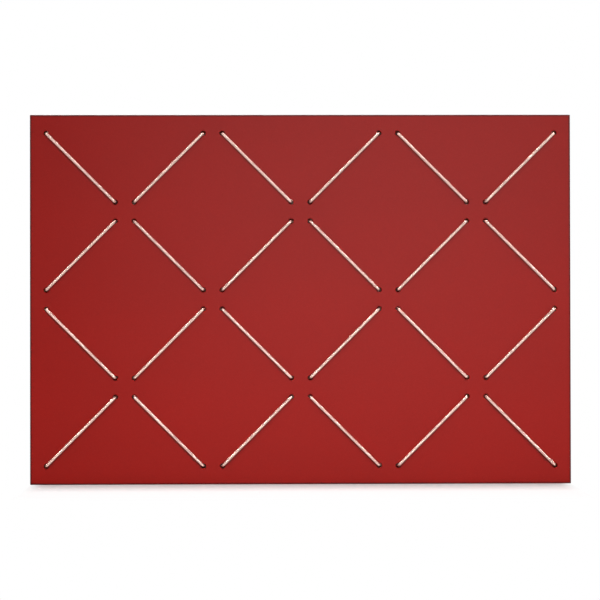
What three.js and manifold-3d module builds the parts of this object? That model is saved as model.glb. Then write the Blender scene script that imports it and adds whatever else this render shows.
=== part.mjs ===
// Pin board: a thick linoleum facing on a fibreboard carrier, laced with four elastic cords.
// Millimetres, +Z up, the front faces -Y. The origin is the middle of the back face, on the wall.
import * as THREE from "three";
import { mergeVertices } from "three/addons/utils/BufferGeometryUtils.js";
import Module from "manifold-3d";

const wasm = await Module();
wasm.setup();

// Board
const BOARD_WIDTH = 600;
const BOARD_HEIGHT = 410;
const CARRIER_THICKNESS = 10;
const FACING_THICKNESS = 6;
const EDGE_EASE = 0.8; // chamfer round the front of the facing

// Cord lattice: the strands aim at crossings that fill the board inside these margins
const COLUMNS = 6;
const ROWS = 4;
const SIDE_MARGIN = 7.5;
const END_MARGIN = 10;
const HOLE_SETBACK = 10.5; // from a crossing to each hole beside it, along X and along Z

// Cord and what it runs in
const CORD_DIAMETER = 3;
const CORD_CLEARANCE = 0.3; // between the cord and what it lies on
const HOLE_PLAY = 2.5; // hole diameter beyond the cord's
const GROOVE_PLAY = 3.6; // groove width beyond the cord's diameter
const CORD_SINK = 0.9; // how far links and knots stay below the back face
const KNOT_GAP = 0.8; // between neighbouring turns of an end knot
const KNOT_TAIL_GAP = 0.4; // radians of a knot's turn left out between its tail and the standing cord
const POCKET_PLAY = 0.6; // round a knot in its pocket

// Keyhole hanging plate
const PLATE_THICKNESS = 1.5;
const PLATE_LEDGE = 3; // overlap of the plate on the carrier beside the head's pocket
const PLATE_END = 6; // from a screw to the plate's end
const PLATE_CORNER = 4;
const PLATE_CLEARANCE = 0.3;
const PLATE_SINK = 0.2; // below the back face
const ENTRY_DIAMETER = 9;
const SLOT_WIDTH = 5;
const SLOT_TRAVEL = 11; // from the entry's centre to the slot's top centre
const HEAD_PLAY = 1.5; // round the entry, in the pocket for the wall screw's head
const HEAD_DEPTH = 5.8;

// Countersunk plate screw
const SCREW_DIAMETER = 3;
const SCREW_HEAD = 5.6;
const SCREW_MARGIN = 9; // from the keyhole's end to a screw
const SCREW_CLEARANCE = 0.3;
const SCREW_COVER = 1.8; // carrier left in front of the screw's tip
const TIP_LENGTH = 2;

// Facet counts
const HOLE_SIDES = 10;
const CORD_SIDES = 8;
const BEND_STEPS = 2;
const KNOT_STEPS = 24;
const ROUND_SIDES = 12;
const CORNER_SEGMENTS = 2;

const CUT_OVERRUN = 1; // how far a cutter passes the face that it opens
const MERGE_DISTANCE = 1e-3;
const GAP_SPACING = 0.5; // of the points that measure the cord's gap to itself

// Derived sizes
const BOARD_DEPTH = CARRIER_THICKNESS + FACING_THICKNESS;
const CORD_RADIUS = CORD_DIAMETER / 2;
const PITCH_X = (BOARD_WIDTH - 2 * SIDE_MARGIN) / COLUMNS;
const PITCH_Z = (BOARD_HEIGHT - 2 * END_MARGIN) / ROWS;
const STRAND_WIDTH = PITCH_X - 2 * HOLE_SETBACK;
const STRAND_HEIGHT = PITCH_Z - 2 * HOLE_SETBACK;
const HOLE_RADIUS = (CORD_DIAMETER + HOLE_PLAY) / 2;
const BEND_RADIUS = CORD_RADIUS + CORD_CLEARANCE; // a bend is centred on the rim that it turns over
const RIM_OFFSET = HOLE_RADIUS - BEND_RADIUS; // the cord keeps to the side of the hole that it is drawn to
const GROOVE_RADIUS = (CORD_DIAMETER + GROOVE_PLAY) / 2;
const GROOVE_DEPTH = CORD_SINK + CORD_DIAMETER + CORD_CLEARANCE;
const STRAND_DEPTH = BOARD_DEPTH + BEND_RADIUS;
const LINK_DEPTH = GROOVE_DEPTH - BEND_RADIUS;

// An end knot is an overhand knot: two turns round a ring, weaving three times across it
const KNOT_WEAVE = (CORD_DIAMETER + KNOT_GAP) / 2;
const KNOT_RING = KNOT_WEAVE + (CORD_DIAMETER + KNOT_GAP) / Math.sqrt(3);
const KNOT_REACH = KNOT_RING + KNOT_WEAVE;
const POCKET_RADIUS = KNOT_REACH + CORD_RADIUS + POCKET_PLAY;
const POCKET_DEPTH = CORD_SINK + 2 * KNOT_WEAVE + CORD_DIAMETER + CORD_CLEARANCE;
const KNOT_DEPTH = CORD_SINK + CORD_RADIUS + KNOT_WEAVE;

const HEAD_POCKET_RADIUS = ENTRY_DIAMETER / 2 + HEAD_PLAY;
const SCREW_OFFSET = (SLOT_TRAVEL + ENTRY_DIAMETER) / 2 + SCREW_MARGIN; // from the plate's middle
const PLATE_WIDTH = 2 * (HEAD_POCKET_RADIUS + PLATE_LEDGE);
const PLATE_HEIGHT = 2 * (SCREW_OFFSET + PLATE_END);
const RECESS_DEPTH = PLATE_SINK + PLATE_THICKNESS;
const HANGER_X = ((COLUMNS - 1) * PITCH_X) / 2; // the hangers sit behind the middles of the outer top cells
const HANGER_Z = ((ROWS - 1) * PITCH_Z) / 2;

// Materials
const linoleum = new THREE.MeshStandardMaterial({ color: 0x992b28, roughness: 0.55, metalness: 0 });
const fibreboard = new THREE.MeshStandardMaterial({ color: 0x8a6a4a, roughness: 0.85, metalness: 0 });
const elastic = new THREE.MeshStandardMaterial({ color: 0xf1dccb, roughness: 0.8, metalness: 0 });
const zincPlate = new THREE.MeshStandardMaterial({ color: 0xb4b7b9, roughness: 0.35, metalness: 1 });
const screwSteel = new THREE.MeshStandardMaterial({ color: 0xc4c4c0, roughness: 0.3, metalness: 1 });

// A closed geometry as a solid that can be joined and cut.
function solidOf(geometry) {
  const bare = geometry.clone();
  bare.deleteAttribute("normal");
  bare.deleteAttribute("uv");
  const merged = mergeVertices(bare, MERGE_DISTANCE);
  return new wasm.Manifold(
    new wasm.Mesh({
      numProp: 3,
      vertProperties: merged.attributes.position.array,
      triVerts: new Uint32Array(merged.index.array),
    }),
  );
}

// A joined or cut solid back as a geometry.
function geometryOf(solid) {
  const { numProp, vertProperties, triVerts } = solid.getMesh();
  const geometry = new THREE.BufferGeometry();
  geometry.setAttribute("position", new THREE.BufferAttribute(vertProperties, numProp));
  geometry.setIndex(new THREE.BufferAttribute(triVerts, 1));
  geometry.computeVertexNormals();
  return geometry;
}

function mesh(name, geometry, material) {
  const made = new THREE.Mesh(geometry, material);
  made.name = name;
  return made;
}

// A flat outline, drawn in X and Z, as a slab between two depths in front of the wall.
function slab(outline, fromDepth, toDepth, curveSegments = HOLE_SIDES / 2) {
  const geometry = new THREE.ExtrudeGeometry(outline, {
    depth: toDepth - fromDepth,
    bevelEnabled: false,
    curveSegments,
  });
  return geometry.translate(0, 0, fromDepth).rotateX(Math.PI / 2);
}

// The radius of a many-sided outline whose flats leave a round one clear.
function flatsRadius(radius, sides) {
  return radius / Math.cos(Math.PI / sides);
}

function disc(x, z, radius) {
  return new THREE.Shape().absarc(x, z, radius, 0, 2 * Math.PI, false);
}

function rectangle(width, height) {
  return new THREE.Shape()
    .moveTo(-width / 2, -height / 2)
    .lineTo(width / 2, -height / 2)
    .lineTo(width / 2, height / 2)
    .lineTo(-width / 2, height / 2)
    .closePath();
}

function roundedRectangle(width, height, corner) {
  const x = width / 2 - corner;
  const z = height / 2 - corner;
  return new THREE.Shape()
    .absarc(x, z, corner, 0, Math.PI / 2, false)
    .absarc(-x, z, corner, Math.PI / 2, Math.PI, false)
    .absarc(-x, -z, corner, Math.PI, 1.5 * Math.PI, false)
    .absarc(x, -z, corner, 1.5 * Math.PI, 2 * Math.PI, false)
    .closePath();
}

// A slot with round ends, level from fromX to toX.
function levelSlot(fromX, toX, z, radius) {
  return new THREE.Shape()
    .absarc(toX, z, radius, -Math.PI / 2, Math.PI / 2, false)
    .absarc(fromX, z, radius, Math.PI / 2, 1.5 * Math.PI, false)
    .closePath();
}

// A slot with round ends, upright from fromZ to toZ.
function uprightSlot(fromZ, toZ, radius) {
  return new THREE.Shape()
    .absarc(0, toZ, radius, 0, Math.PI, false)
    .absarc(0, fromZ, radius, Math.PI, 2 * Math.PI, false)
    .closePath();
}

// The holes that one row's cord visits from left to right, round the middle of the row.
// The strands go down and up by turns, and the first goes down when startsHigh is true.
function rowHoles(startsHigh) {
  const holes = [];
  for (let column = 0; column < COLUMNS; column++) {
    const goesDown = (column % 2 === 0) === startsHigh;
    const left = (column - COLUMNS / 2) * PITCH_X + HOLE_SETBACK;
    const leftZ = goesDown ? STRAND_HEIGHT / 2 : -STRAND_HEIGHT / 2;
    holes.push({ x: left, z: leftZ });
    holes.push({ x: left + STRAND_WIDTH, z: -leftZ });
  }
  return holes;
}

const rows = Array.from({ length: ROWS }, (_, row) => ({
  startsHigh: row % 2 === 0,
  z: ((ROWS - 1) / 2 - row) * PITCH_Z,
}));

// The middle of the knot behind an end hole: outward is -1 at the left end and 1 at the right.
function knotMiddle(hole, outward) {
  return { x: hole.x + outward * (RIM_OFFSET - KNOT_REACH), z: hole.z };
}

// Cutters for every cord hole, straight through the board
function holeDrills() {
  const radius = flatsRadius(HOLE_RADIUS, HOLE_SIDES);
  let drills = null;
  for (const row of rows) {
    for (const hole of rowHoles(row.startsHigh)) {
      const drill = solidOf(
        slab(disc(hole.x, row.z + hole.z, radius), -CUT_OVERRUN, BOARD_DEPTH + CUT_OVERRUN),
      );
      drills = drills ? drills.add(drill) : drill;
    }
  }
  return drills;
}

// Linoleum sheet with an eased front edge and the cord holes
function facingGeometry(drills) {
  const blank = new THREE.ExtrudeGeometry(rectangle(BOARD_WIDTH, BOARD_HEIGHT), {
    depth: FACING_THICKNESS,
    bevelThickness: EDGE_EASE,
    bevelSize: EDGE_EASE,
    bevelOffset: -EDGE_EASE,
    bevelSegments: 1,
  });
  blank.translate(0, 0, CARRIER_THICKNESS - EDGE_EASE).rotateX(Math.PI / 2);
  const behind = slab(
    rectangle(BOARD_WIDTH + 2 * CUT_OVERRUN, BOARD_HEIGHT + 2 * CUT_OVERRUN),
    CARRIER_THICKNESS - 2 * EDGE_EASE - CUT_OVERRUN,
    CARRIER_THICKNESS,
  );
  return geometryOf(solidOf(blank).subtract(solidOf(behind)).subtract(drills));
}

// Cutters in the back for one row's links and its two end knots
function rowCutters(row) {
  const holes = rowHoles(row.startsHigh);
  const cutters = [];
  for (let i = 1; i < holes.length - 1; i += 2) {
    const groove = levelSlot(holes[i].x, holes[i + 1].x, row.z + holes[i].z, GROOVE_RADIUS);
    cutters.push(slab(groove, -CUT_OVERRUN, GROOVE_DEPTH, CORNER_SEGMENTS));
  }
  const ends = [knotMiddle(holes[0], -1), knotMiddle(holes[holes.length - 1], 1)];
  for (const end of ends) {
    const pocket = disc(end.x, row.z + end.z, flatsRadius(POCKET_RADIUS, ROUND_SIDES));
    cutters.push(slab(pocket, -CUT_OVERRUN, POCKET_DEPTH, ROUND_SIDES / 2));
  }
  return cutters;
}

// Cutters in the back for one hanger: the plate's recess, the wall screw head's pocket and the screw seats
function hangerCutters() {
  const recess = roundedRectangle(
    PLATE_WIDTH + 2 * PLATE_CLEARANCE,
    PLATE_HEIGHT + 2 * PLATE_CLEARANCE,
    PLATE_CORNER + PLATE_CLEARANCE,
  );
  const headPocket = uprightSlot(-SLOT_TRAVEL / 2, SLOT_TRAVEL / 2, HEAD_POCKET_RADIUS);
  return [
    slab(recess, -CUT_OVERRUN, RECESS_DEPTH, CORNER_SEGMENTS),
    slab(headPocket, -CUT_OVERRUN, RECESS_DEPTH + HEAD_DEPTH, ROUND_SIDES / 2),
    ...screwSeats().map((seat) => seat.translate(0, -PLATE_SINK, 0)),
  ];
}

// Fibreboard with the cord holes, and with grooves, pockets and hanger recesses in its back
function carrierGeometry(drills) {
  const blank = slab(rectangle(BOARD_WIDTH, BOARD_HEIGHT), 0, CARRIER_THICKNESS);
  let carrier = solidOf(blank).subtract(drills);
  for (const row of rows) {
    for (const cutter of rowCutters(row)) {
      carrier = carrier.subtract(solidOf(cutter));
    }
  }
  for (const side of [-1, 1]) {
    for (const cutter of hangerCutters()) {
      carrier = carrier.subtract(solidOf(cutter.translate(side * HANGER_X, 0, HANGER_Z)));
    }
  }
  return geometryOf(carrier);
}

// A path through points that puts one ring of a tube at each of them, however far apart they are.
class PointPath extends THREE.Curve {
  constructor(points) {
    super();
    this.points = points;
  }

  index(u) {
    return Math.round(u * (this.points.length - 1));
  }

  getPointAt(u, target = new THREE.Vector3()) {
    return target.copy(this.points[this.index(u)]);
  }

  getTangentAt(u, target = new THREE.Vector3()) {
    const i = this.index(u);
    const before = this.points[Math.max(i - 1, 0)];
    const after = this.points[Math.min(i + 1, this.points.length - 1)];
    return target.subVectors(after, before).normalize();
  }
}

// Points round a bend at a corner of the cord's route.
function bend(before, corner, after) {
  const back = before.clone().sub(corner).normalize();
  const on = after.clone().sub(corner).normalize();
  const half = back.angleTo(on) / 2;
  const toCentre = back.clone().add(on).setLength(BEND_RADIUS / Math.sin(half));
  const centre = corner.clone().add(toCentre);
  const spoke = corner.clone().addScaledVector(back, BEND_RADIUS / Math.tan(half)).sub(centre);
  const axis = back.clone().cross(on).negate().normalize();
  const sweep = Math.PI - 2 * half;
  return Array.from({ length: BEND_STEPS + 1 }, (_, step) =>
    spoke.clone().applyAxisAngle(axis, (sweep * step) / BEND_STEPS).add(centre),
  );
}

// The overhand knot behind an end hole, from the standing cord to the tail.
function knotPoints(hole, outward) {
  const middle = knotMiddle(hole, outward);
  const span = 2 * Math.PI - KNOT_TAIL_GAP;
  return Array.from({ length: KNOT_STEPS + 1 }, (_, step) => {
    const turn = (span * step) / KNOT_STEPS;
    const reach = KNOT_RING + KNOT_WEAVE * Math.cos(3 * turn);
    const height = KNOT_WEAVE * Math.sin(3 * turn);
    return new THREE.Vector3(
      middle.x + outward * reach * Math.cos(2 * turn),
      height - KNOT_DEPTH,
      middle.z + reach * Math.sin(2 * turn),
    );
  });
}

// The cord's corners between its two knots: across the front, through the board and along the links.
function laceCorners(holes) {
  const corners = [];
  holes.forEach((hole, i) => {
    const isLeft = i % 2 === 0;
    const partner = holes[isLeft ? i + 1 : i - 1];
    const along = new THREE.Vector3(partner.x - hole.x, 0, partner.z - hole.z).setLength(RIM_OFFSET);
    const front = new THREE.Vector3(hole.x + along.x, -STRAND_DEPTH, hole.z + along.z);
    const hasLink = i > 0 && i < holes.length - 1;
    const back = new THREE.Vector3(hole.x + (isLeft ? -RIM_OFFSET : RIM_OFFSET), -LINK_DEPTH, hole.z);
    const visit = hasLink ? [back, front] : [front];
    corners.push(...(isLeft ? visit : visit.reverse()));
  });
  return corners;
}

// One cord's whole route: tail, knot, lacing, knot, tail.
function cordPoints(startsHigh) {
  const holes = rowHoles(startsHigh);
  const leftKnot = knotPoints(holes[0], -1).reverse();
  const rightKnot = knotPoints(holes[holes.length - 1], 1);
  const leftStand = leftKnot.pop();
  const rightStand = rightKnot.shift();
  const corners = [leftKnot.at(-1), leftStand, ...laceCorners(holes), rightStand, rightKnot[0]];
  const lacing = [];
  for (let i = 1; i < corners.length - 1; i++) {
    lacing.push(...bend(corners[i - 1], corners[i], corners[i + 1]));
  }
  return [...leftKnot, ...lacing, ...rightKnot];
}

function cordGeometry(points) {
  const section = new THREE.Shape().absarc(0, 0, CORD_RADIUS, 0, 2 * Math.PI, false);
  return new THREE.ExtrudeGeometry(section, {
    steps: points.length - 1,
    curveSegments: CORD_SIDES / 2,
    extrudePath: new PointPath(points),
  });
}

// The keyhole: a round entry with a slot rising from it.
function keyhole() {
  const entryZ = -SLOT_TRAVEL / 2;
  const radius = ENTRY_DIAMETER / 2;
  const shoulder = Math.asin(SLOT_WIDTH / ENTRY_DIAMETER);
  return new THREE.Shape()
    .absarc(0, entryZ, radius, Math.PI / 2 - shoulder, Math.PI / 2 + shoulder, true)
    .absarc(0, SLOT_TRAVEL / 2, SLOT_WIDTH / 2, Math.PI, 0, true)
    .closePath();
}

// A countersunk screw, its head's face at y = 0, grown by a clearance to make the cutter for its seat.
function screwGeometry(grow) {
  const head = SCREW_HEAD / 2 + grow;
  const shank = SCREW_DIAMETER / 2 + grow;
  const length = CARRIER_THICKNESS - SCREW_COVER - PLATE_SINK;
  const tipGrow = (grow * TIP_LENGTH) / (SCREW_DIAMETER / 2);
  const profile = [
    new THREE.Vector2(0, -length - tipGrow),
    new THREE.Vector2(shank, TIP_LENGTH - length),
    new THREE.Vector2(shank, shank - head),
    new THREE.Vector2(head, 0),
    new THREE.Vector2(0, 0),
  ];
  return new THREE.LatheGeometry(profile, ROUND_SIDES);
}

// Cutters for the seats of a plate's two screws
function screwSeats() {
  return [-SCREW_OFFSET, SCREW_OFFSET].map((z) => screwGeometry(SCREW_CLEARANCE).translate(0, 0, z));
}

// Plate with its keyhole and two countersunk screw holes, its rear face at y = 0
function plateGeometry() {
  const outline = roundedRectangle(PLATE_WIDTH, PLATE_HEIGHT, PLATE_CORNER);
  const opening = slab(keyhole(), -CUT_OVERRUN, PLATE_THICKNESS + CUT_OVERRUN, ROUND_SIDES / 2);
  let plate = solidOf(slab(outline, 0, PLATE_THICKNESS, CORNER_SEGMENTS));
  for (const cutter of [opening, ...screwSeats()]) {
    plate = plate.subtract(solidOf(cutter));
  }
  return geometryOf(plate);
}

// A hanger: the plate in its recess and the two screws that hold it
function hanger(side, sign) {
  const group = new THREE.Group();
  group.position.set(sign * HANGER_X, -PLATE_SINK, HANGER_Z);
  group.add(mesh(`keyhole_plate_${side}`, plateGeometry(), zincPlate));
  for (const [place, end] of [["upper", 1], ["lower", -1]]) {
    const screw = mesh(`plate_screw_${side}_${place}`, screwGeometry(0), screwSteel);
    screw.position.z = end * SCREW_OFFSET;
    group.add(screw);
  }
  return group;
}

// Evenly spaced points along straight runs from point to point, with each one's distance along the cord.
function spacedPoints(points) {
  const spaced = [];
  let along = 0;
  for (let i = 1; i < points.length; i++) {
    const run = points[i].distanceTo(points[i - 1]);
    const count = Math.ceil(run / GAP_SPACING);
    for (let k = 0; k < count; k++) {
      const at = points[i - 1].clone().lerp(points[i], k / count);
      spaced.push({ at, along: along + (run * k) / count });
    }
    along += run;
  }
  return { spaced, length: along };
}

// A cord's length, and the least gap between stretches of it that aren't neighbours.
function measureCord(points) {
  const { spaced, length } = spacedPoints(points);
  const neighbourhood = Math.PI * BEND_RADIUS + CORD_DIAMETER;
  let least = Infinity;
  spaced.forEach((one, i) => {
    for (const other of spaced.slice(i + 1)) {
      if (other.along - one.along > neighbourhood) {
        least = Math.min(least, one.at.distanceTo(other.at));
      }
    }
  });
  return { length, gap: least - CORD_DIAMETER };
}

const board = new THREE.Group();
const drills = holeDrills();
board.add(mesh("linoleum_facing", facingGeometry(drills), linoleum));
board.add(mesh("carrier_board", carrierGeometry(drills), fibreboard));

const lacing = new THREE.Group();
rows.forEach((row, i) => {
  const points = cordPoints(row.startsHigh);
  const { length, gap } = measureCord(points);
  console.log(`cord row ${i + 1}: ${length.toFixed(0)} mm long, least gap to itself ${gap.toFixed(2)} mm`);
  const cord = mesh(`elastic_cord_row_${i + 1}`, cordGeometry(points), elastic);
  cord.position.z = row.z;
  lacing.add(cord);
});

const pinBoard = new THREE.Group();
pinBoard.add(board, lacing, hanger("left", -1), hanger("right", 1));

export default pinBoard;
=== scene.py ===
"""A linoleum pin board laced with elastic cords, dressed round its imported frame.

Shapes are drawn in millimetres and scaled to metres when a mesh is finished. Patterns of materials, the
floor's fades, the lamps and the camera are in metres.
"""

import math

import bmesh
import bpy
from mathutils import Matrix, Vector


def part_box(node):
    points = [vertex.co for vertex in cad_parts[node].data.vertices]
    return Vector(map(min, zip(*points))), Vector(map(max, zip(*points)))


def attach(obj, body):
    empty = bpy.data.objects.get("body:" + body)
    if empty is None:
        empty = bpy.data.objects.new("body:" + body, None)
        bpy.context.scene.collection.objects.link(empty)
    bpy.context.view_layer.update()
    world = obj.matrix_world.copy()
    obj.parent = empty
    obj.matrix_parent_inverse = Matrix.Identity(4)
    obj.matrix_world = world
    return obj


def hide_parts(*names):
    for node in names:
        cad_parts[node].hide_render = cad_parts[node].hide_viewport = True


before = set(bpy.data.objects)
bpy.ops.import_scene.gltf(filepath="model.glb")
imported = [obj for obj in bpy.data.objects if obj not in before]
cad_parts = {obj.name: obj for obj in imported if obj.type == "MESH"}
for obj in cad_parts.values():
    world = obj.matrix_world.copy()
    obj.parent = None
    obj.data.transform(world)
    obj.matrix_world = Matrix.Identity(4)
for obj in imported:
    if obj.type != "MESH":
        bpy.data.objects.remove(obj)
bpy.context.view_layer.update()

MM = 0.001

# The board's planes, from the frame
facing_low, facing_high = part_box("linoleum_facing")
carrier_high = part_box("carrier_board")[1]
HALF_WIDTH = facing_high.x / MM
HALF_HEIGHT = facing_high.z / MM
FRONT = facing_low.y / MM
GLUE_LINE = facing_high.y / MM
BACK = carrier_high.y / MM

# Softened edges
BOARD_CORNER = 0.8
FACING_EASE = 0.8
CARRIER_EASE = 0.5
HOLE_EASE = 0.35
CUT_EASE = 0.3
EASE_STEPS = 4
SHARP_ANGLE = math.radians(35)

# Painted shade along the facing's edges: a darkened line on the face, which fades inwards in steps
EDGE_SHADE_WIDTH = 1.6
EDGE_SHADE_STEPS = 5

# Marks on a mesh, which tell its material how worn, cut or deep a place is, and where shade is painted:
# along the facing's edges and between the cord's yarns
MARK = "mark"
NO_MARK = 0.0
SIDE_MARK = 0.4
FULL_MARK = 1.0

# Cord lattice
COLUMNS = 6
ROWS = 4
SIDE_MARGIN = 7.5
END_MARGIN = 10.0
HOLE_SETBACK = 10.5
PITCH_X = 2 * (HALF_WIDTH - SIDE_MARGIN) / COLUMNS
PITCH_Z = 2 * (HALF_HEIGHT - END_MARGIN) / ROWS
STRAND_WIDTH = PITCH_X - 2 * HOLE_SETBACK
STRAND_HEIGHT = PITCH_Z - 2 * HOLE_SETBACK

# Cord and what it runs in
CORD_RADIUS = 1.5
CORD_CLEARANCE = 0.3
HOLE_RADIUS = 2.75
GROOVE_RADIUS = 3.3
CORD_SINK = 0.9
BEND_RADIUS = CORD_RADIUS + CORD_CLEARANCE
RIM_OFFSET = HOLE_RADIUS - BEND_RADIUS
GROOVE_DEPTH = CORD_SINK + 2 * CORD_RADIUS + CORD_CLEARANCE
STRAND_Y = FRONT - BEND_RADIUS
LINK_Y = BACK + BEND_RADIUS - GROOVE_DEPTH
BEND_STEPS = 8

# Overhand knot: it turns twice round a ring and weaves three times, and its tail stops short by an angle
KNOT_TURNS = 2
KNOT_WEAVES = 3
KNOT_TAIL_GAP = 0.4
KNOT_GAP = 0.8
KNOT_STEPS = 120
KNOT_WEAVE = CORD_RADIUS + KNOT_GAP / 2
KNOT_RING = KNOT_WEAVE + 2 * KNOT_WEAVE / math.sqrt(3)
KNOT_REACH = KNOT_RING + KNOT_WEAVE
KNOT_Y = BACK - CORD_SINK - CORD_RADIUS - KNOT_WEAVE
POCKET_PLAY = 0.6
POCKET_RADIUS = KNOT_REACH + CORD_RADIUS + POCKET_PLAY
POCKET_DEPTH = CORD_SINK + 2 * KNOT_WEAVE + 2 * CORD_RADIUS + CORD_CLEARANCE

# The cord's braided cover: every other point of its mesh is a yarn that comes up
BRAID_SIDES = 16
BRAID_STEP = 0.6
BRAID_RELIEF = 0.07
TIP_RINGS = 4

# Keyhole plate and the recess that it lies in
PLATE_THICKNESS = 1.5
PLATE_SINK = 0.2
PLATE_CORNER = 4.0
PLATE_CLEARANCE = 0.3
PLATE_EASE = 0.25
ENTRY_RADIUS = 4.5
SLOT_RADIUS = 2.5
SLOT_TRAVEL = 11.0
HEAD_POCKET_RADIUS = 6.0
HEAD_DEPTH = 5.8
PILOT_PLAY = 0.3
PLATE_REAR = BACK - PLATE_SINK
PLATE_INNER = PLATE_REAR - PLATE_THICKNESS

# Countersunk screw with a cross recess and a thread
SCREW_PLACES = ("upper", "lower")
SCREW_RADIUS = 1.5
SCREW_HEAD_RADIUS = 2.8
SCREW_LAND = 0.15
SCREW_CLEARANCE = 0.3
THREAD_PITCH = 1.35
THREAD_DEPTH = 0.35
RIDGE_SHARE = 0.5
THREAD_STEPS = 12
THREAD_SIDES = 24
TIP_LENGTH = 2.0
CROSS_REACH = 1.65
CROSS_WIDTH = 0.72
CROSS_DEPTH = 1.5
CROSS_TAPER = 0.45

# Points round a hole, and round one corner of an outline
ROUND_POINTS = 32
CORNER_POINTS = 8


class Solid:
    """A closed mesh built from rings of points, the walls between rings and flat faces with holes."""

    def __init__(self):
        self.bm = bmesh.new()
        self.flats = set()
        self.mark = self.bm.faces.layers.float.new(MARK)

    def ring(self, outline, y):
        """Points (x, z) of an outline, at a depth."""
        return [self.bm.verts.new((x, y, z)) for x, z in outline]

    def wall(self, *rings, mark=NO_MARK):
        """Faces from ring to ring. Returns the last ring."""
        for first, second in zip(rings, rings[1:]):
            for corners in zip(first, first[1:] + first[:1], second[1:] + second[:1], second):
                self.bm.faces.new(corners)[self.mark] = mark
        return rings[-1]

    def fill(self, *rings, mark=NO_MARK):
        """A flat face: the first ring is its outline, and the others are holes in it."""
        edges = []
        for ring in rings:
            for a, b in zip(ring, ring[1:] + ring[:1]):
                edges.append(self.bm.edges.get((a, b)) or self.bm.edges.new((a, b)))
        made = bmesh.ops.triangle_fill(self.bm, use_beauty=True, use_dissolve=False, edges=edges)
        for face in [item for item in made["geom"] if isinstance(item, bmesh.types.BMFace)]:
            face[self.mark] = mark
            self.flats.add(face)

    def finish(self, name, material, node):
        """Makes the mesh a piece, with creases round its flat faces and at its sharp edges."""
        shade_smooth(self.bm)
        for edge in self.bm.edges:
            flat_sides = [face in self.flats for face in edge.link_faces]
            edge.smooth = edge.calc_face_angle(0) < SHARP_ANGLE and len(set(flat_sides)) < 2
        make_piece(name, self.bm, material, node)


def shade_smooth(bm):
    bmesh.ops.recalc_face_normals(bm, faces=bm.faces)
    for face in bm.faces:
        face.smooth = True


def make_object(name, bm, material):
    """An object in the scene, from a mesh in millimetres."""
    bm.transform(Matrix.Scale(MM, 4))
    mesh = bpy.data.meshes.new(name)
    bm.to_mesh(mesh)
    bm.free()
    mesh.materials.append(material)
    made = bpy.data.objects.new(name, mesh)
    bpy.context.scene.collection.objects.link(made)
    return made


def make_piece(name, bm, material, node):
    """A piece of the board, which stands for a node of the frame."""
    made = make_object(name, bm, material)
    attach(made, "root")
    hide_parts(node)


# Outlines, as points (x, z)
def arc(x, z, radius, start, end, steps):
    angles = [start + (end - start) * step / steps for step in range(steps + 1)]
    return [(x + radius * math.cos(a), z + radius * math.sin(a)) for a in angles]


def circle(x, z, radius, points=ROUND_POINTS):
    return arc(x, z, radius, 0, 2 * math.pi, points)[:-1]


def rounded_rectangle(x, z, half_width, half_height, corner):
    points = []
    for quarter, (side, up) in enumerate([(1, 1), (-1, 1), (-1, -1), (1, -1)]):
        start = quarter * math.pi / 2
        corner_x = x + side * (half_width - corner)
        corner_z = z + up * (half_height - corner)
        points += arc(corner_x, corner_z, corner, start, start + math.pi / 2, CORNER_POINTS)
    return points


def board_outline(inset):
    return rounded_rectangle(0, 0, HALF_WIDTH - inset, HALF_HEIGHT - inset, BOARD_CORNER)


def plate_outline(side, grow):
    """A keyhole plate's outline, or with grow the outline of a recess round it."""
    x, z = hanger_middles()[side]
    half_width, half_height = plate_half_size(side)
    return rounded_rectangle(x, z, half_width + grow, half_height + grow, PLATE_CORNER + grow)


def level_slot(from_x, to_x, z, radius):
    right = arc(to_x, z, radius, -math.pi / 2, math.pi / 2, ROUND_POINTS // 2)
    left = arc(from_x, z, radius, math.pi / 2, 1.5 * math.pi, ROUND_POINTS // 2)
    return right + left


def upright_slot(x, from_z, to_z, radius):
    top = arc(x, to_z, radius, 0, math.pi, ROUND_POINTS // 2)
    bottom = arc(x, from_z, radius, math.pi, 2 * math.pi, ROUND_POINTS // 2)
    return top + bottom


def keyhole(x, z, grow):
    """A round entry with a slot rising from it, round the middle of its plate."""
    entry = ENTRY_RADIUS + grow
    slot = SLOT_RADIUS + grow
    shoulder = math.asin(slot / entry)
    top = arc(x, z + SLOT_TRAVEL / 2, slot, 0, math.pi, ROUND_POINTS // 2)
    start = math.pi / 2 + shoulder
    bottom = arc(x, z - SLOT_TRAVEL / 2, entry, start, start + 2 * (math.pi - shoulder), ROUND_POINTS)
    return top + bottom


def cross(x, z, reach, half_width):
    """A plus sign, from the end of one arm round to the next."""
    arm = [(reach, -half_width), (reach, half_width), (half_width, half_width)]
    points = []
    for _ in range(4):
        points += arm
        arm = [(-b, a) for a, b in arm]
    return [(x + a, z + b) for a, b in points]


def eased(depth):
    """Pairs (inset, depth) round a softened edge, from the side of a board to its face."""
    angles = [math.pi / 2 * step / EASE_STEPS for step in range(EASE_STEPS + 1)]
    return [(depth * (1 - math.cos(a)), depth * (1 - math.sin(a))) for a in angles]


# Where the cords and the hangers go
def row_middles():
    return [((ROWS - 1) / 2 - row) * PITCH_Z for row in range(ROWS)]


def row_holes(row):
    """The holes that a row's cord visits from left to right, round the middle of the row."""
    holes = []
    for column in range(COLUMNS):
        left = (column - COLUMNS / 2) * PITCH_X + HOLE_SETBACK
        left_z = STRAND_HEIGHT / 2 if (column + row) % 2 == 0 else -STRAND_HEIGHT / 2
        holes += [(left, left_z), (left + STRAND_WIDTH, -left_z)]
    return holes


def board_holes():
    """The holes of every row, on the board."""
    return [[(x, middle + z) for x, z in row_holes(row)] for row, middle in enumerate(row_middles())]


def knot_middle(hole, outward):
    return hole[0] + outward * (RIM_OFFSET - KNOT_REACH), hole[1]


def hanger_middles():
    x = (COLUMNS - 1) * PITCH_X / 2
    z = (ROWS - 1) * PITCH_Z / 2
    return {"left": (-x, z), "right": (x, z)}


def plate_half_size(side):
    low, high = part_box(f"keyhole_plate_{side}")
    return (high.x - low.x) / 2 / MM, (high.z - low.z) / 2 / MM


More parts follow.
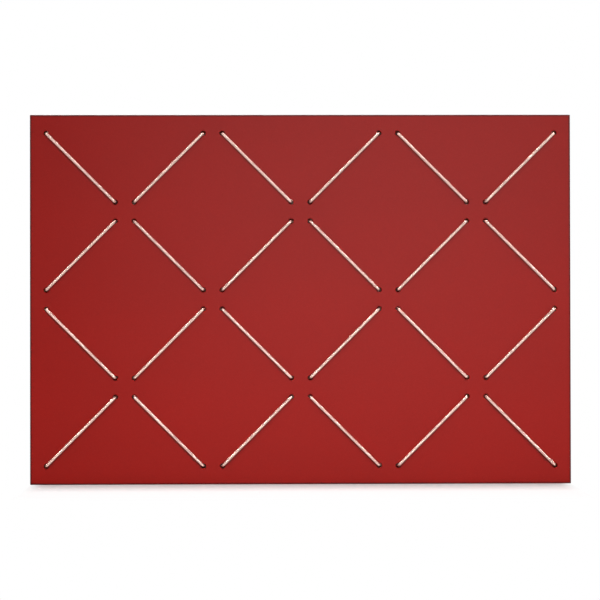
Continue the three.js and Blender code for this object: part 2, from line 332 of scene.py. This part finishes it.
def screw_offset(side, place):
    """How far above the middle of its plate a screw sits."""
    low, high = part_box(f"plate_screw_{side}_{place}")
    return (low.z + high.z) / 2 / MM - hanger_middles()[side][1]


# Boards
def make_facing(material):
    """The linoleum sheet: softened front edges, and holes with softened rims."""
    solid = Solid()
    back = solid.ring(board_outline(0), GLUE_LINE)
    edge = [solid.ring(board_outline(inset), FRONT + depth) for inset, depth in eased(FACING_EASE)]
    # The side, the eased edge and a line inside it are marked for painted shade, which fades inwards
    solid.wall(back, edge[0], mark=SIDE_MARK)
    front = solid.wall(*edge, mark=FULL_MARK)
    for step in range(1, EDGE_SHADE_STEPS + 1):
        inner = solid.ring(board_outline(FACING_EASE + EDGE_SHADE_WIDTH * step / EDGE_SHADE_STEPS), FRONT)
        front = solid.wall(front, inner, mark=FULL_MARK - step / (EDGE_SHADE_STEPS + 1))
    front_rims = []
    back_rims = []
    softened = [(HOLE_RADIUS + inset, FRONT + depth) for inset, depth in eased(HOLE_EASE)]
    for holes in board_holes():
        for x, z in holes:
            rim = [solid.ring(circle(x, z, radius), y) for radius, y in softened]
            back_rims.append(solid.ring(circle(x, z, HOLE_RADIUS), GLUE_LINE))
            front_rims.append(solid.wall(back_rims[-1], *rim))
    solid.fill(front, *front_rims)
    solid.fill(back, *back_rims)
    solid.finish("linoleum_sheet", material, "linoleum_facing")


def cut_from_back(solid, depth, outline):
    """The wall of a cut with a softened rim. Returns its ring on the back and its ring at the floor."""
    rim = solid.ring(outline(CUT_EASE), BACK)
    side = solid.ring(outline(0), BACK - CUT_EASE)
    floor = solid.wall(rim, side, solid.ring(outline(0), BACK - depth), mark=FULL_MARK)
    return rim, floor


def cut_for_cord(solid, holes):
    """One row's grooves, knot pockets and holes. Returns their rims on the back and on the front."""
    back_rims = []
    front_rims = []

    def cut(depth, outline, drilled):
        rim, floor = cut_from_back(solid, depth, outline)
        back_rims.append(rim)
        drills = []
        for x, z in drilled:
            drills.append(solid.ring(circle(x, z, HOLE_RADIUS), BACK - depth))
            end = solid.ring(circle(x, z, HOLE_RADIUS), GLUE_LINE)
            front_rims.append(solid.wall(drills[-1], end, mark=FULL_MARK))
        solid.fill(floor, *drills, mark=FULL_MARK)

    for (left, z), (right, _) in zip(holes[1:-1:2], holes[2:-1:2]):
        drilled = [(left, z), (right, z)]
        cut(GROOVE_DEPTH, lambda grow: level_slot(left, right, z, GROOVE_RADIUS + grow), drilled)
    for hole, outward in ((holes[0], -1), (holes[-1], 1)):
        x, z = knot_middle(hole, outward)
        cut(POCKET_DEPTH, lambda grow: circle(x, z, POCKET_RADIUS + grow), [hole])
    return back_rims, front_rims


def cut_for_hanger(solid, side):
    """A plate's recess, with a pocket for the wall screw's head and two pilot holes. Returns its rim."""
    x, z = hanger_middles()[side]
    depth = BACK - PLATE_INNER
    rim, floor = cut_from_back(solid, depth, lambda grow: plate_outline(side, PLATE_CLEARANCE + grow))
    slot = upright_slot(x, z - SLOT_TRAVEL / 2, z + SLOT_TRAVEL / 2, HEAD_POCKET_RADIUS)
    mouths = [solid.ring(slot, PLATE_INNER)]
    bottom = solid.ring(slot, PLATE_INNER - HEAD_DEPTH)
    solid.fill(solid.wall(mouths[-1], bottom, mark=FULL_MARK), mark=FULL_MARK)
    for place in SCREW_PLACES:
        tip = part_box(f"plate_screw_{side}_{place}")[0].y / MM
        pilot = circle(x, z + screw_offset(side, place), SCREW_RADIUS + PILOT_PLAY)
        mouths.append(solid.ring(pilot, PLATE_INNER))
        end = solid.ring(pilot, tip - PILOT_PLAY)
        solid.fill(solid.wall(mouths[-1], end, mark=FULL_MARK), mark=FULL_MARK)
    solid.fill(floor, *mouths, mark=FULL_MARK)
    return rim


def make_carrier(material):
    """The fibreboard, with holes, grooves and pockets for the cords and recesses for the hangers."""
    solid = Solid()
    front = solid.ring(board_outline(0), GLUE_LINE)
    edge = [solid.ring(board_outline(inset), BACK - depth) for inset, depth in eased(CARRIER_EASE)]
    back = solid.wall(front, *edge, mark=FULL_MARK)
    back_rims = []
    front_rims = []
    for holes in board_holes():
        row_back_rims, row_front_rims = cut_for_cord(solid, holes)
        back_rims += row_back_rims
        front_rims += row_front_rims
    for side in hanger_middles():
        back_rims.append(cut_for_hanger(solid, side))
    solid.fill(back, *back_rims)
    solid.fill(front, *front_rims)
    solid.finish("fibreboard_back", material, "carrier_board")


# Hangers
def make_plate(side, material):
    """A keyhole plate with softened edges and two countersunk holes."""
    solid = Solid()
    x, z = hanger_middles()[side]
    softened = [(inset, PLATE_REAR - depth) for inset, depth in eased(PLATE_EASE)]
    inner_edge = solid.ring(plate_outline(side, 0), PLATE_INNER)
    edge = [solid.ring(plate_outline(side, -inset), y) for inset, y in softened]
    rear_edge = solid.wall(inner_edge, *edge, mark=FULL_MARK)
    inner_rims = [solid.ring(keyhole(x, z, 0), PLATE_INNER)]
    lip = [solid.ring(keyhole(x, z, inset), y) for inset, y in softened]
    rear_rims = [solid.wall(inner_rims[-1], *lip, mark=FULL_MARK)]
    seat = SCREW_HEAD_RADIUS + SCREW_CLEARANCE
    bore = SCREW_RADIUS + SCREW_CLEARANCE
    for place in SCREW_PLACES:
        seat_z = z + screw_offset(side, place)
        rear_rims.append(solid.ring(circle(x, seat_z, seat), PLATE_REAR))
        cone = solid.ring(circle(x, seat_z, bore), PLATE_REAR - (seat - bore))
        inner_rims.append(solid.ring(circle(x, seat_z, bore), PLATE_INNER))
        solid.wall(rear_rims[-1], cone, inner_rims[-1])
    solid.fill(rear_edge, *rear_rims)
    solid.fill(inner_edge, *inner_rims)
    solid.finish(f"zinc_keyhole_plate_{side}", material, f"keyhole_plate_{side}")


def thread_height(y, turned):
    """How far the thread's ridge stands out, from 0 to 1, at a depth and a share of a turn."""
    phase = (y / THREAD_PITCH + turned) % 1
    return max(0.0, 1 - abs(phase - 0.5) / (RIDGE_SHARE / 2))


def make_screw(side, place, material):
    """A countersunk wood screw: cross recess in its head, thread to its tip."""
    solid = Solid()
    node = f"plate_screw_{side}_{place}"
    low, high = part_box(node)
    x = (low.x + high.x) / 2 / MM
    z = (low.z + high.z) / 2 / MM
    face = high.y / MM
    tip = low.y / MM
    recess = solid.ring(cross(x, z, CROSS_REACH, CROSS_WIDTH / 2), face)
    taper = 1 - CROSS_TAPER
    pit = solid.ring(cross(x, z, CROSS_REACH * taper, CROSS_WIDTH / 2 * taper), face - CROSS_DEPTH)
    solid.fill(solid.wall(recess, pit))
    core = SCREW_RADIUS - THREAD_DEPTH
    neck = face - (SCREW_HEAD_RADIUS - core)
    head = [(SCREW_HEAD_RADIUS - SCREW_LAND, face), (SCREW_HEAD_RADIUS, face - SCREW_LAND), (core, neck)]
    rings = [solid.ring(circle(x, z, radius, THREAD_SIDES), y) for radius, y in head]
    solid.fill(rings[0], recess)
    count = math.ceil((neck - tip) / THREAD_PITCH * THREAD_STEPS)
    for step in range(1, count):
        y = neck + (tip - neck) * step / count
        slim = min(1.0, (y - tip) / TIP_LENGTH)
        depth = min(1.0, step / THREAD_STEPS) * THREAD_DEPTH
        points = []
        for number in range(THREAD_SIDES):
            angle = 2 * math.pi * number / THREAD_SIDES
            radius = slim * (core + depth * thread_height(y, number / THREAD_SIDES))
            points.append((x + radius * math.cos(angle), z + radius * math.sin(angle)))
        rings.append(solid.ring(points, y))
    solid.fill(solid.wall(*rings))
    solid.finish(f"countersunk_screw_{side}_{place}", material, node)


# Cords
def bend_points(before, corner, after):
    """The arc that rounds a corner of the route."""
    back = (before - corner).normalized()
    on = (after - corner).normalized()
    half = back.angle(on) / 2
    centre = corner + (back + on).normalized() * (BEND_RADIUS / math.sin(half))
    spoke = corner + back * (BEND_RADIUS / math.tan(half)) - centre
    axis = on.cross(back).normalized()
    sweep = math.pi - 2 * half
    turns = [Matrix.Rotation(sweep * step / BEND_STEPS, 3, axis) for step in range(BEND_STEPS + 1)]
    return [centre + turn @ spoke for turn in turns]


def knot_points(hole, outward):
    """An overhand knot, from the standing cord to the tail."""
    middle_x, middle_z = knot_middle(hole, outward)
    points = []
    for step in range(KNOT_STEPS + 1):
        turn = (2 * math.pi - KNOT_TAIL_GAP) * step / KNOT_STEPS
        reach = KNOT_RING + KNOT_WEAVE * math.cos(KNOT_WEAVES * turn)
        x = middle_x + outward * reach * math.cos(KNOT_TURNS * turn)
        y = KNOT_Y + KNOT_WEAVE * math.sin(KNOT_WEAVES * turn)
        z = middle_z + reach * math.sin(KNOT_TURNS * turn)
        points.append(Vector((x, y, z)))
    return points


def lace_corners(holes):
    """The corners between the two knots: across the front, through the board and along the links."""
    corners = []
    for i, (x, z) in enumerate(holes):
        is_left = i % 2 == 0
        partner = holes[i + 1 if is_left else i - 1]
        along = Vector((partner[0] - x, 0, partner[1] - z)).normalized() * RIM_OFFSET
        visit = [Vector((x, STRAND_Y, z)) + along]
        if 0 < i < len(holes) - 1:
            visit.append(Vector((x - RIM_OFFSET if is_left else x + RIM_OFFSET, LINK_Y, z)))
        corners += reversed(visit) if is_left else visit
    return corners


def cord_route(row):
    """One cord's whole route: tail, knot, lacing, knot, tail."""
    holes = row_holes(row)
    left = knot_points(holes[0], -1)[::-1]
    right = knot_points(holes[-1], 1)
    corners = [left[-2], left[-1], *lace_corners(holes), right[0], right[1]]
    lacing = []
    for before, corner, after in zip(corners, corners[1:], corners[2:]):
        lacing += bend_points(before, corner, after)
    middle = Vector((0, 0, row_middles()[row]))
    return [point + middle for point in left[:-1] + lacing + right[1:]]


def evenly_spaced(points, spacing):
    """Points along the same line, as close to this spacing as fills it."""
    lengths = [(b - a).length for a, b in zip(points, points[1:])]
    count = round(sum(lengths) / spacing)
    step = sum(lengths) / count
    spaced = [points[0]]
    along = 0.0
    i = 0
    for number in range(1, count):
        while along + lengths[i] < number * step:
            along += lengths[i]
            i += 1
        spaced.append(points[i].lerp(points[i + 1], (number * step - along) / lengths[i]))
    return spaced + [points[-1]]


def make_cord(row, material):
    """A round elastic cord in a braided cover, with melted tips."""
    bm = bmesh.new()
    mark = bm.verts.layers.float.new(MARK)
    route = evenly_spaced(cord_route(row), BRAID_STEP)
    last = len(route) - 1
    side = Vector((0, 0, 1))
    rings = []
    for i, point in enumerate(route):
        ahead = (route[min(i + 1, last)] - route[max(i - 1, 0)]).normalized()
        side = (side - ahead * side.dot(ahead)).normalized()
        across = ahead.cross(side)
        from_tip = min(i, last - i)
        slim = math.sin(math.pi / 2 * min(1.0, (from_tip + 1) / TIP_RINGS))
        ring = []
        for k in range(BRAID_SIDES):
            angle = 2 * math.pi * k / BRAID_SIDES
            is_yarn = (i + k) % 2 == 0
            radius = slim * (CORD_RADIUS - (0 if is_yarn else BRAID_RELIEF))
            vert = bm.verts.new(point + (side * math.cos(angle) + across * math.sin(angle)) * radius)
            # Points between the yarns are marked for painted shade
            vert[mark] = NO_MARK if is_yarn else FULL_MARK
            ring.append(vert)
        rings.append(ring)
    for first, second in zip(rings, rings[1:]):
        for k in range(BRAID_SIDES):
            after = (k + 1) % BRAID_SIDES
            bm.faces.new((first[k], first[after], second[after], second[k]))
    bm.faces.new(rings[0])
    bm.faces.new(rings[-1])
    shade_smooth(bm)
    make_piece(f"braided_cord_row_{row + 1}", bm, material, f"elastic_cord_row_{row + 1}")


# Base colours of the materials
LINOLEUM_RED = (0.290, 0.0040, 0.0012)
PALE_GRANULE = (0.46, 0.03, 0.02)
FIBRE_BROWN = (0.36, 0.235, 0.125)
CORD_CREAM = (0.98, 0.66, 0.56)
# A dark red for painted shade and red bounce light on the cords at the holes
CORD_HOLE_SHADE = (0.34, 0.04, 0.03)
ZINC = (0.60, 0.61, 0.63)
SCREW_ZINC = (0.66, 0.65, 0.60)

# Painted shade and red bounce light on the cords, where they lie on the face and go into the holes: where
# it starts and is full, in front of the face, and its strength
HOLE_SHADE_START = 2.8
HOLE_SHADE_FULL = 0.8
HOLE_SHADE_MOST = 0.85

# Roughness of the plated pieces, and what is added to it where they are dullest
PLATE_ROUGHNESS = 0.30
SCREW_ROUGHNESS = 0.22
DULLEST = 0.14

# The values that a noise mostly keeps between
NOISE_LOW = 0.3
NOISE_HIGH = 0.7

# A Mix node's sockets for colours: the factor and the two colours that go in, and the one that comes out
MIX_INPUTS = (0, 6, 7)
MIX_OUTPUT = 2


class Nodes:
    """The node tree of a material or the world, with short ways to add nodes."""

    def __init__(self, owner):
        owner.use_nodes = True
        self.tree = owner.node_tree

    def add(self, kind, inputs=None, **settings):
        made = self.tree.nodes.new("ShaderNode" + kind)
        for key, value in settings.items():
            setattr(made, key, value)
        for key, value in (inputs or {}).items():
            self.set(made.inputs[key], value)
        return made

    def set(self, socket, value):
        """Links a socket to another one, or gives it a constant value."""
        if isinstance(value, bpy.types.NodeSocket):
            self.tree.links.new(value, socket)
        else:
            socket.default_value = value

    def place(self, stretch=(1, 1, 1)):
        """The place on the object, in metres, squeezed along each axis by stretch."""
        where = self.add("TexCoord").outputs["Object"]
        return self.add("Mapping", {"Vector": where, "Scale": stretch}).outputs["Vector"]

    def noise(self, scale, detail=2.0, stretch=(1, 1, 1), roughness=0.5):
        inputs = {"Vector": self.place(stretch), "Scale": scale, "Detail": detail, "Roughness": roughness}
        return self.add("TexNoise", inputs).outputs["Fac"]

    def cells(self, scale):
        """A random number for each cell of a Voronoi pattern."""
        made = self.add("TexVoronoi", {"Scale": scale, "Vector": self.place()})
        return self.add("SeparateColor", {"Color": made.outputs["Color"]}).outputs["Red"]

    def spread(self, value, start, end, low, high):
        """From low to high while the value goes from start to end, and level outside that."""
        made = self.add("MapRange", {"Value": value, "From Min": start, "From Max": end})
        self.set(made.inputs["To Min"], low)
        self.set(made.inputs["To Max"], high)
        return made.outputs["Result"]

    def rise(self, value, start, end, most=1.0):
        """From nothing to most while the value goes from start to end."""
        return self.spread(value, start, end, 0.0, most)

    def swing(self, noise, low=0.0, high=1.0):
        """A noise, spread from low to high."""
        return self.spread(noise, NOISE_LOW, NOISE_HIGH, low, high)

    def marked(self, most):
        """From nothing to most with the mark on the mesh."""
        mark = self.add("Attribute", attribute_name=MARK).outputs["Fac"]
        return self.rise(mark, NO_MARK, FULL_MARK, most)

    def maths(self, operation, a, b=0.0):
        made = self.add("Math", operation=operation)
        self.set(made.inputs[0], a)
        self.set(made.inputs[1], b)
        return made.outputs[0]

    def largest(self, first, *others):
        for other in others:
            first = self.maths("MAXIMUM", first, other)
        return first

    def mix(self, factor, a, b):
        """The first colour where the factor is 0, and the second where it is 1."""
        made = self.add("Mix", data_type="RGBA")
        for index, value in zip(MIX_INPUTS, (factor, a, b)):
            self.set(made.inputs[index], value)
        return made.outputs[MIX_OUTPUT]

    def bump(self, height, strength, distance, normal=None):
        made = self.add("Bump", {"Height": height, "Strength": strength, "Distance": distance})
        if normal:
            self.set(made.inputs["Normal"], normal)
        return made.outputs["Normal"]

    def either(self, factor, first, second):
        """The first shader where the factor is 0, and the second where it is 1."""
        made = self.add("MixShader", {"Fac": factor})
        self.set(made.inputs[1], first.outputs[0])
        self.set(made.inputs[2], second.outputs[0])
        return made

    def show(self, shader, output="OutputMaterial"):
        self.set(self.add(output).inputs["Surface"], shader.outputs[0])


def principled(name, values):
    """A material with constant values on its shader. Returns it, its nodes and its shader's inputs."""
    material = bpy.data.materials.new(name)
    nodes = Nodes(material)
    shader = nodes.tree.nodes["Principled BSDF"].inputs
    for key, value in values.items():
        shader[key].default_value = value
    return material, nodes, shader


def bare_nodes(owner):
    """The node tree of a material or the world, emptied."""
    nodes = Nodes(owner)
    nodes.tree.nodes.clear()
    return nodes


def tone(colour, level=1.0):
    """A colour made darker or paler, with its alpha."""
    return (*[channel * level for channel in colour], 1.0)


def linoleum_material():
    """Through-coloured linoleum: faint streaks, fine granules, a satin skin and painted shade along its
    edges.
    """
    material, nodes, shader = principled("linoleum", {"Specular IOR Level": 0.2})
    streaks = nodes.noise(scale=14.0, detail=3.0, stretch=(0.35, 1, 1))
    colour = nodes.mix(nodes.swing(streaks), tone(LINOLEUM_RED, 0.97), tone(LINOLEUM_RED, 1.03))
    granules = nodes.cells(scale=1300.0)
    pale = nodes.rise(granules, start=0.86, end=0.9, most=0.10)
    colour = nodes.mix(pale, colour, tone(PALE_GRANULE))
    dark = nodes.rise(granules, start=0.14, end=0.10, most=0.16)
    colour = nodes.mix(dark, colour, tone(LINOLEUM_RED, 0.45))
    # Painted shade on the marked edges of the facing
    colour = nodes.mix(nodes.marked(most=0.95), colour, tone(LINOLEUM_RED, 0.28))
    nodes.set(shader["Base Color"], colour)
    satin = nodes.noise(scale=420.0, detail=3.0)
    nodes.set(shader["Roughness"], nodes.swing(satin, low=0.33, high=0.38))
    grain = nodes.bump(nodes.noise(scale=2600.0, detail=3.0), strength=0.10, distance=0.0002)
    waves = nodes.bump(nodes.noise(scale=90.0), strength=0.03, distance=0.001, normal=grain)
    nodes.set(shader["Normal"], waves)
    return material


def fibreboard_material():
    """Raw fibreboard: matted fibres, dark specks and darker cut places."""
    material, nodes, shader = principled("fibreboard", {"Specular IOR Level": 0.1})
    clouds = nodes.noise(scale=35.0, detail=4.0)
    colour = nodes.mix(nodes.swing(clouds), tone(FIBRE_BROWN, 0.90), tone(FIBRE_BROWN, 1.08))
    fibres = nodes.noise(scale=900.0, detail=4.0, stretch=(0.25, 1, 1), roughness=0.7)
    dark = nodes.rise(fibres, start=0.35, end=0.65, most=0.45)
    colour = nodes.mix(dark, colour, tone(FIBRE_BROWN, 0.62))
    hairs = nodes.noise(scale=900.0, detail=4.0, stretch=(1, 1, 0.25), roughness=0.7)
    pale = nodes.rise(hairs, start=0.55, end=0.72, most=0.4)
    colour = nodes.mix(pale, colour, tone(FIBRE_BROWN, 1.35))
    specks = nodes.rise(nodes.cells(scale=800.0), start=0.955, end=0.965, most=0.4)
    colour = nodes.mix(specks, colour, tone(FIBRE_BROWN, 0.28))
    colour = nodes.mix(nodes.marked(most=0.45), colour, tone(FIBRE_BROWN, 0.55))
    nodes.set(shader["Base Color"], colour)
    nodes.set(shader["Roughness"], nodes.swing(fibres, low=0.78, high=0.92))
    nodes.set(shader["Normal"], nodes.bump(fibres, strength=0.25, distance=0.0003))
    return material


def cord_material():
    """Polyester yarn over rubber: cream, with painted shade between the yarns, and painted shade and red
    bounce light where it lies on the face and goes into the holes.
    """
    material, nodes, shader = principled("elastic_cord", {"Sheen Weight": 0.15, "Specular IOR Level": 0.25})
    uneven = nodes.noise(scale=260.0)
    colour = nodes.mix(nodes.swing(uneven), tone(CORD_CREAM, 0.96), tone(CORD_CREAM, 1.02))
    # Painted shade between the yarns
    colour = nodes.mix(nodes.marked(most=0.25), colour, tone(CORD_CREAM, 0.62))
    depth = nodes.add("SeparateXYZ", {"Vector": nodes.place()}).outputs["Y"]
    face_contact_shade = nodes.rise(depth, (FRONT - HOLE_SHADE_START) * MM, (FRONT - HOLE_SHADE_FULL) * MM, HOLE_SHADE_MOST)
    in_hole = nodes.rise(depth, (LINK_Y - CORD_RADIUS) * MM, GLUE_LINE * MM)
    # Painted shade and red bounce light on the cord under it and inside the holes
    colour = nodes.mix(nodes.maths("MULTIPLY", face_contact_shade, in_hole), colour, tone(CORD_HOLE_SHADE))
    nodes.set(shader["Base Color"], colour)
    nodes.set(shader["Roughness"], nodes.swing(nodes.noise(scale=4000.0), low=0.62, high=0.78))
    nodes.set(shader["Normal"], nodes.bump(nodes.noise(scale=7000.0), strength=0.2, distance=0.0001))
    return material


def zinc_material(name, colour, roughness):
    """Zinc plating: faint spangle, drawn lines along the part, and edges worn bright."""
    material, nodes, shader = principled(name, {"Metallic": 1.0})
    plating = nodes.mix(nodes.cells(scale=260.0), tone(colour, 0.86), tone(colour, 1.06))
    lines = nodes.noise(scale=1500.0, detail=3.0, stretch=(1, 1, 0.03))
    drawn = nodes.rise(lines, start=0.45, end=0.7, most=0.25)
    plating = nodes.mix(drawn, plating, tone(colour, 0.7))
    plating = nodes.mix(nodes.marked(most=0.3), plating, tone(colour, 1.25))
    nodes.set(shader["Base Color"], plating)
    dull = nodes.noise(scale=300.0, detail=3.0)
    nodes.set(shader["Roughness"], nodes.swing(dull, roughness, roughness + DULLEST))
    nodes.set(shader["Normal"], nodes.bump(lines, strength=0.08, distance=0.0001))
    return material


# Floor: pale near the board. A fade is where it starts to turn white and where it is all white
FLOOR_SIZE = 14000.0
FLOOR_PALE = (0.8, 0.8, 0.8, 1.0)
NEAR_GLOW = 0.22
SIDE_FADE = (0.286, 0.3)
SIDE_FADE_BEHIND = 0.12
FRONT_FADE = (-0.09, -0.18)
BACK_FADE = (0.1, 0.4)
WHITE = (1.0, 1.0, 1.0, 1.0)
BLACK = (0.0, 0.0, 0.0, 1.0)

# Dark discs behind the cord holes: painted shade, tinted with painted red light off the holes' linoleum
# walls
SHADE_GAP = 0.3
SHADE_RADIUS = 8.5
SHADE_DARK = (0.2, 0.005, 0.003, 1.0)

# Light from all round, light from the room behind the camera, and where that room gives way to the backdrop
AMBIENT = 0.06
ROOM_LIGHT = 0.02
ROOM_END = -0.1
BACKDROP_START = 0.3

# The point that most lamps aim at, and the beam of an open lamp in degrees
MIDDLE = (0.0, 0.0, 0.0)
OPEN_BEAM = 180.0

# The photograph's view of the board, turned in degrees from straight ahead. A camera starts looking down
CAMERA_PLACE = (-0.0267, -2.0, -0.0155)
CAMERA_YAW = 0.746
CAMERA_PITCH = 0.426
CAMERA_ROLL = -0.106
CAMERA_LEVEL = 90.0
CAMERA_LENS = 107.28
SENSOR_WIDTH = 36.0


def seen_white(nodes):
    """1 for the rays that show the background: to the camera, in gloss and through glass."""
    path = nodes.add("LightPath").outputs
    return nodes.largest(path["Is Camera Ray"], path["Is Glossy Ray"], path["Is Transmission Ray"])


def floor_material():
    """A pale floor that takes shadows near the board, runs out to white and doesn't show from below."""
    material = bpy.data.materials.new("floor")
    nodes = bare_nodes(material)
    where = nodes.add("NewGeometry").outputs
    place = nodes.add("SeparateXYZ", {"Vector": where["Position"]}).outputs
    side_start = nodes.spread(place["Y"], BACK * MM, BACK_FADE[0], SIDE_FADE[0], SIDE_FADE_BEHIND)
    far_side = nodes.rise(nodes.maths("ABSOLUTE", place["X"]), side_start, SIDE_FADE[1])
    far = nodes.largest(far_side, nodes.rise(place["Y"], *FRONT_FADE), nodes.rise(place["Y"], *BACK_FADE))
    glow = nodes.spread(far, 0.0, 1.0, NEAR_GLOW, 1.0)
    dimming = nodes.mix(far, FLOOR_PALE, BLACK)
    seen = seen_white(nodes)
    both = nodes.add("AddShader")
    lit = nodes.add("BsdfDiffuse", {"Color": nodes.mix(seen, FLOOR_PALE, dimming)})
    nodes.set(both.inputs[0], lit.outputs[0])
    white = nodes.add("Emission", {"Color": WHITE, "Strength": nodes.maths("MULTIPLY", seen, glow)})
    nodes.set(both.inputs[1], white.outputs[0])
    nodes.show(nodes.either(where["Backfacing"], both, nodes.add("BsdfTransparent")))
    return material


def shade_material():
    """Darkness behind a cord hole, which shows from the front and lets views of the back through."""
    material = bpy.data.materials.new("shade")
    nodes = bare_nodes(material)
    path = nodes.add("LightPath").outputs
    looking = nodes.largest(path["Is Camera Ray"], path["Is Glossy Ray"])
    behind = nodes.add("NewGeometry").outputs["Backfacing"]
    shows = nodes.largest(nodes.maths("SUBTRACT", looking, behind), 0.0)
    dark = nodes.add("BsdfDiffuse", {"Color": SHADE_DARK})
    nodes.show(nodes.either(shows, nodes.add("BsdfTransparent"), dark))
    return material


def make_stage(name, faces, material):
    bm = bmesh.new()
    for corners in faces:
        bm.faces.new([bm.verts.new(corner) for corner in corners])
    made = make_object(name, bm, material)
    return made


def make_floor():
    half = FLOOR_SIZE / 2
    corners = [(-half, -half), (half, -half), (half, half), (-half, half)]
    floor = make_stage("floor", [[(x, y, -HALF_HEIGHT) for x, y in corners]], floor_material())
    floor.visible_glossy = False
    return floor


def make_shades():
    """Painted shade: a dark disc close behind each cord hole."""
    discs = [circle(x, z, SHADE_RADIUS) for holes in board_holes() for x, z in holes]
    faces = [[(x, BACK + SHADE_GAP, z) for x, z in disc] for disc in discs]
    make_stage("hole_shades", faces, shade_material())


def make_world():
    """White behind the object, faint light all round, and a dim room behind the camera."""
    world = bpy.data.worlds.new("studio")
    bpy.context.scene.world = world
    nodes = bare_nodes(world)
    direction = nodes.add("SeparateXYZ", {"Vector": nodes.add("TexCoord").outputs["Generated"]}).outputs
    backdrop = nodes.spread(direction["Y"], ROOM_END, BACKDROP_START, ROOM_LIGHT, 1.0)
    camera = nodes.add("LightPath").outputs["Is Camera Ray"]
    seen = nodes.maths("MULTIPLY", seen_white(nodes), nodes.largest(camera, backdrop))
    strength = nodes.largest(seen, AMBIENT)
    nodes.show(nodes.add("Background", {"Color": WHITE, "Strength": strength}), "OutputWorld")


def softbox(name, place, aim, size, watts, beam=OPEN_BEAM):
    """A rectangular lamp, with its beam in degrees."""
    data = bpy.data.lights.new(name, "AREA")
    data.shape = "RECTANGLE"
    data.size, data.size_y = size
    data.energy = watts
    data.spread = math.radians(beam)
    lamp = bpy.data.objects.new(name, data)
    lamp.location = place
    lamp.rotation_euler = (Vector(aim) - Vector(place)).to_track_quat("-Z", "Y").to_euler()
    bpy.context.scene.collection.objects.link(lamp)
    return lamp


def keep_off(lamp, stage_object):
    """Keeps a lamp's light, and with it its shadows, off a piece of the stage."""
    spared = bpy.data.collections.new(f"spared_by_{lamp.name}")
    spared.objects.link(stage_object)
    spared.collection_objects[0].light_linking.link_state = "EXCLUDE"
    lamp.light_linking.receiver_collection = spared


def make_lights(floor):
    """Two strips overhead, a lamp by the camera for the sheen, and four lamps kept off the floor."""
    softbox("top_light", place=(0.0, 0.265, 3.0), aim=(0.0, 0.265, 0.0), size=(1.2, 0.53), watts=70.0)
    softbox("fill_light", place=(0.0, -0.35, 3.0), aim=(0.0, -0.35, 0.0), size=(1.2, 0.5), watts=20.0)
    softbox("front_light", place=(0.25, -2.4, 0.3), aim=MIDDLE, size=(1.4, 1.2), watts=13.8)
    lamps = [
        softbox(
            "key_light",
            place=(0.25, -2.2, 2.65),
            aim=(0.03, 0.0, -0.65),
            size=(1.25, 0.4),
            watts=4.75,
            beam=27.0,
        ),
        softbox("back_light", place=(-0.5, 1.9, 2.2), aim=MIDDLE, size=(1.0, 0.8), watts=60.0),
        softbox("left_light", place=(-2.5, 0.3, 0.6), aim=MIDDLE, size=(0.6, 0.6), watts=30.0),
        softbox("right_light", place=(2.5, 0.3, 0.6), aim=MIDDLE, size=(0.6, 0.6), watts=30.0),
    ]
    for lamp in lamps:
        keep_off(lamp, floor)


def make_camera():
    data = bpy.data.cameras.new("camera")
    data.sensor_width = SENSOR_WIDTH
    data.lens = CAMERA_LENS
    camera = bpy.data.objects.new("camera", data)
    camera.location = CAMERA_PLACE
    turns = (CAMERA_LEVEL + CAMERA_PITCH, -CAMERA_ROLL, -CAMERA_YAW)
    camera.rotation_euler = [math.radians(turn) for turn in turns]
    bpy.context.scene.collection.objects.link(camera)
    bpy.context.scene.camera = camera


make_camera()
cord_finish = cord_material()
for row in range(ROWS):
    make_cord(row, cord_finish)
make_facing(linoleum_material())
make_carrier(fibreboard_material())
plate_finish = zinc_material("zinc_plate", ZINC, PLATE_ROUGHNESS)
screw_finish = zinc_material("screw_steel", SCREW_ZINC, SCREW_ROUGHNESS)
for side in ("left", "right"):
    make_plate(side, plate_finish)
    for place in SCREW_PLACES:
        make_screw(side, place, screw_finish)

floor = make_floor()
make_shades()
make_world()
make_lights(floor)
bpy.context.scene.view_settings.view_transform = "Standard"
